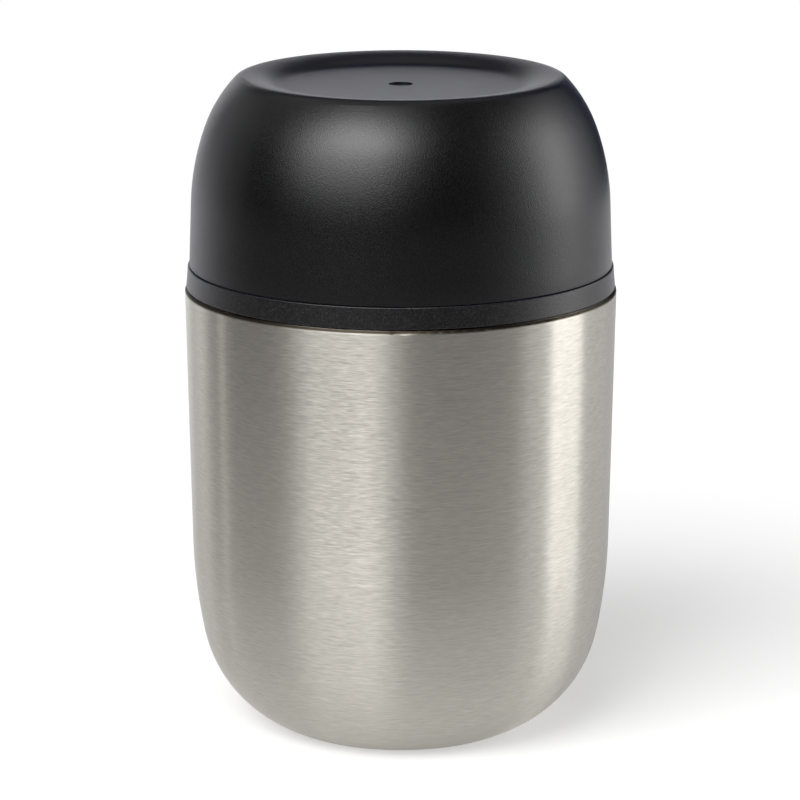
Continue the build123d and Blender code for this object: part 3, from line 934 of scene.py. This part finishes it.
def pale_floor(scene, studio):
    """Plain pale floor that keeps the jar's shadow, with dark cloth laid out of the picture."""
    bm = bmesh.new()
    bmesh.ops.create_circle(bm, cap_ends=True, segments=FLOOR_SIDES, radius=studio.floor_radius)
    mesh = bpy.data.meshes.new("floor")
    bm.to_mesh(mesh)
    bm.free()
    floor = bpy.data.objects.new("floor", mesh)
    scene.collection.objects.link(floor)
    material = bpy.data.materials.new("pale_floor")
    material.use_nodes = True
    tree = material.node_tree
    tree.nodes.clear()
    seen = add_node(tree, "ShaderNodeLightPath").outputs["Is Camera Ray"]
    spot = place(tree)
    azimuth, _ = around(tree, spot)
    away = add_node(tree, "ShaderNodeVectorMath", {0: spot}, operation="LENGTH").outputs["Value"]
    paper, cloth, rim = studio.paper_radius, studio.cloth_radius, FLOOR_FADE * studio.floor_radius
    beyond = spread(tree, away, 0.0, 1.0, paper, cloth, smooth=True)
    near = spread(tree, away, 1.0, 0.0, cloth, rim, smooth=True)
    aside = figure(tree, "SUBTRACT", azimuth, CLOTH_MIDDLE)
    front = within(tree, aside, CLOTH_HALF, CLOTH_EDGE)
    unseen = figure(tree, "SUBTRACT", 1.0, seen)
    covered = figure(tree, "MULTIPLY", figure(tree, "MULTIPLY", beyond, front), unseen)
    bare = spread(tree, covered, 1.0, studio.cloth_tone)
    tone = spread(tree, seen, studio.paper_tone, studio.floor_white)
    tone = figure(tree, "MULTIPLY", tone, figure(tree, "MULTIPLY", bare, near))
    matt = add_node(tree, "ShaderNodeBsdfDiffuse", {"Color": tone})
    lift = figure(tree, "MULTIPLY", bare, spread(tree, near, WHITE_TENT, studio.floor_lift))
    lift = figure(tree, "MULTIPLY", seen_background(tree), lift)
    glow = add_node(tree, "ShaderNodeEmission", {"Strength": lift})
    both = add_node(tree, "ShaderNodeAddShader", {0: matt.outputs[0], 1: glow.outputs[0]})
    output = add_node(tree, "ShaderNodeOutputMaterial")
    tree.links.new(both.outputs[0], output.inputs["Surface"])
    mesh.materials.append(material)


def front_camera(scene, studio):
    """Camera in front of the jar, a little above it."""
    data = bpy.data.cameras.new("front_camera")
    data.sensor_width = 36
    data.lens = studio.camera_lens
    data.clip_start = 0.01
    data.clip_end = 50
    camera = bpy.data.objects.new("front_camera", data)
    camera.location = (studio.camera_aside, -studio.camera_back, studio.camera_height)
    camera.rotation_euler = (pi / 2 - studio.camera_pitch, 0, 0)
    scene.collection.objects.link(camera)
    scene.camera = camera


class SetUpStudio(bpy.types.Operator):
    """Set up the floor, the light tent and the camera"""

    bl_idname = "food_jar.set_up_studio"
    bl_label = "Studio"

    def execute(self, context):
        scene = context.scene
        front_camera(scene, scene.jar_studio)
        pale_floor(scene, scene.jar_studio)
        light_tent(scene)
        scene.view_settings.view_transform = "Standard"
        return {"FINISHED"}


class FoodJarPanel(bpy.types.Panel):
    """Steps that dress the food jar, and the sizes and colours that they use"""

    bl_idname = "VIEW3D_PT_food_jar"
    bl_label = "Food Jar"
    bl_space_type = "VIEW_3D"
    bl_region_type = "UI"
    bl_category = "Food Jar"

    def draw(self, context):
        for step in STEPS:
            self.layout.operator(step.bl_idname, text=step.bl_label)
        for name in GROUPS:
            group = getattr(context.scene, name)
            box = self.layout.box()
            for key in group.__annotations__:
                box.prop(group, key)


GROUPS = {"jar_sizes": JarSizes, "jar_colours": JarColours, "jar_studio": JarStudio}
STEPS = [
    SetUpStudio,
    DressSkin,
    DressVessel,
    AddNeckThread,
    DressInnerLid,
    AddLidThread,
    AddLatchLugs,
    DressVent,
    AddVentSpring,
    DressSeals,
    DressCup,
]


def register():
    """Registers the groups, the steps and the panel."""
    for name, group in GROUPS.items():
        bpy.utils.register_class(group)
        setattr(bpy.types.Scene, name, PointerProperty(type=group))
    for step in [*STEPS, FoodJarPanel]:
        bpy.utils.register_class(step)


def unregister():
    """Takes the panel, the steps and the groups away again."""
    for step in reversed([*STEPS, FoodJarPanel]):
        bpy.utils.unregister_class(step)
    for name, group in reversed(GROUPS.items()):
        delattr(bpy.types.Scene, name)
        bpy.utils.unregister_class(group)


def main():
    """Runs every step in order."""
    register()
    for step in STEPS:
        area, name = step.bl_idname.split(".")
        getattr(getattr(bpy.ops, area), name)()


if __name__ == "__main__":
    main()
